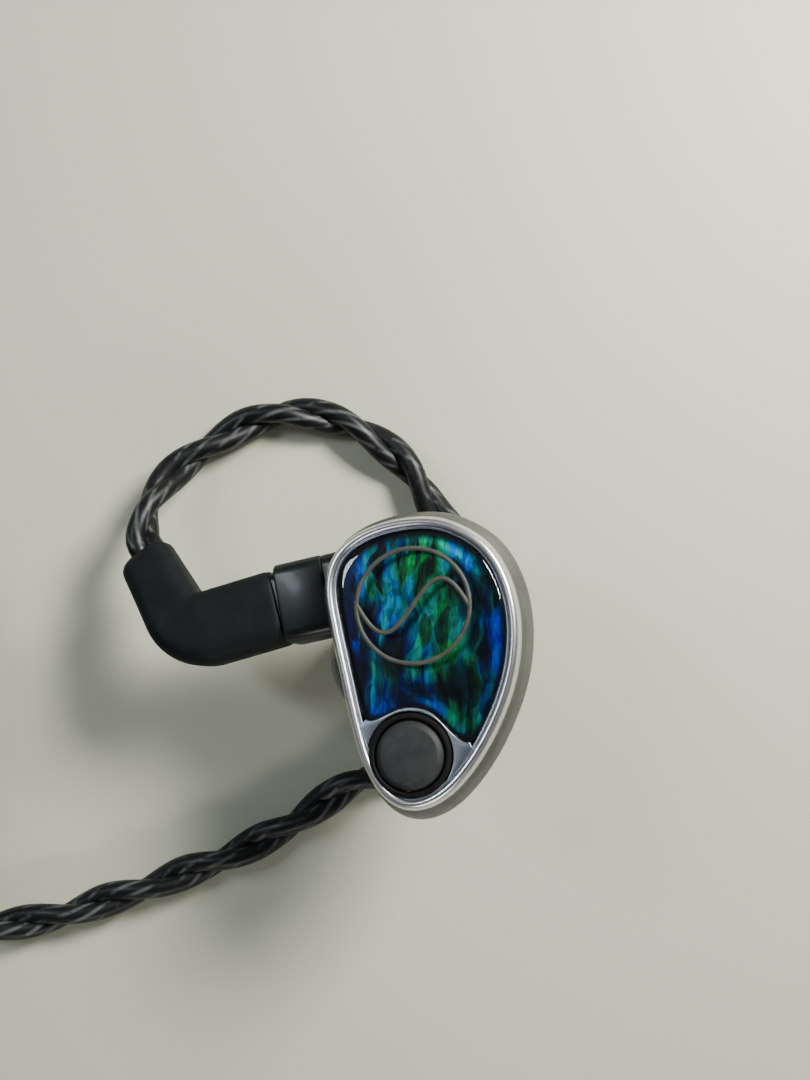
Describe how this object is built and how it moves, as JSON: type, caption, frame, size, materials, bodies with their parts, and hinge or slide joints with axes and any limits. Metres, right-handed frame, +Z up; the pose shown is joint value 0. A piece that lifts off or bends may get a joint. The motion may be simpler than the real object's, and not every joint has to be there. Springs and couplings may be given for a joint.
{
  "type": "in ear monitor",
  "caption": "Stage in-ear monitor: metal body, iridescent inlaid faceplate, pull-out vent module, silicone tip, and a twisted detachable cable with splitter and stereo jack.",
  "frame": {"origin": "on the table, under the middle of the box round the monitor with the cable's fitted plug", "axes": "+Z up from the table the faceplate looks away from, +X from the cable's plug across the monitor, +Y towards the top of the face"},
  "size_m": [0.1179, 0.0523, 0.0211],
  "materials": {
    "shell_metal": "polished, with satin sides",
    "abalone_inlay": "iridescent laminate under resin",
    "clear_resin": "clear, glossy",
    "emblem_wire": "satin wire",
    "vent_metal": "dark grey anodised, satin",
    "seal_rubber": "matte black",
    "sleeve_brass": "satin",
    "plug_polymer": "glossy near-black",
    "boot_rubber": "matte moulded black",
    "gold_contact": "gold-plated",
    "nozzle_steel": "satin",
    "tip_silicone": "soft dark grey silicone",
    "driver_steel": "satin",
    "cone_film": "thin dark film",
    "board_green": "green solder mask",
    "tube_clear": "clear",
    "cable_jacket": "smoky black, slightly translucent",
    "dark_metal": "dark grey anodised",
    "tie_rubber": "matte black"
  },
  "bodies": {
    "cable": {"lead_left": "cable_jacket", "lead_right": "cable_jacket", "lead_left_end": "cable_jacket", "lead_right_end": "cable_jacket", "trunk_start": "cable_jacket", "trunk_tail": "cable_jacket", "cable_coil": "cable_jacket", "coil_tie": "tie_rubber", "splitter": "dark_metal", "jack_relief": "boot_rubber", "jack_barrel": "dark_metal", "jack_sleeve": "gold_contact", "jack_ring": "gold_contact", "jack_tip": "gold_contact", "spare_housing": "plug_polymer", "spare_boot": "boot_rubber", "spare_pin_a": "gold_contact", "spare_pin_b": "gold_contact", "plug_housing": "plug_polymer", "plug_boot": "boot_rubber", "pin_a": "gold_contact", "pin_b": "gold_contact"},
    "monitor": {"shell": "shell_metal", "faceplate": "shell_metal", "face_inlay": "abalone_inlay", "face_lens": "clear_resin", "emblem": "emblem_wire", "module_sleeve": "sleeve_brass", "pin_socket": "plug_polymer", "contact_a": "gold_contact", "contact_b": "gold_contact", "nozzle": "nozzle_steel", "nozzle_screen": "nozzle_steel", "woofer_frame": "driver_steel", "woofer_cone": "cone_film", "tweeter": "driver_steel", "mid_driver": "driver_steel", "low_driver": "driver_steel", "crossover_board": "board_green", "sound_tube": "tube_clear"},
    "vent_module": {"module_cap": "vent_metal", "module_seal": "seal_rubber", "module_barrel": "vent_metal"},
    "ear_tip_body": {"ear_tip": "tip_silicone"}
  },
  "joints": [
    {"name": "plug_pull", "type": "slide", "parent": "cable", "child": "monitor", "axis": [0.9594, 0.2204, 0.1763], "range_m": [0, 0.005]},
    {"name": "vent_module_pull", "type": "slide", "parent": "monitor", "child": "vent_module", "axis": [-0.2064, 0.1219, 0.9709], "range_m": [0, 0.006]},
    {"name": "ear_tip_turn", "type": "hinge", "parent": "monitor", "child": "ear_tip_body", "pos_m": [0.00759, -0.00009, 0.01025], "axis": [-0.2803, -0.0125, -0.9598], "range_deg": [-180, 180]}
  ]
}
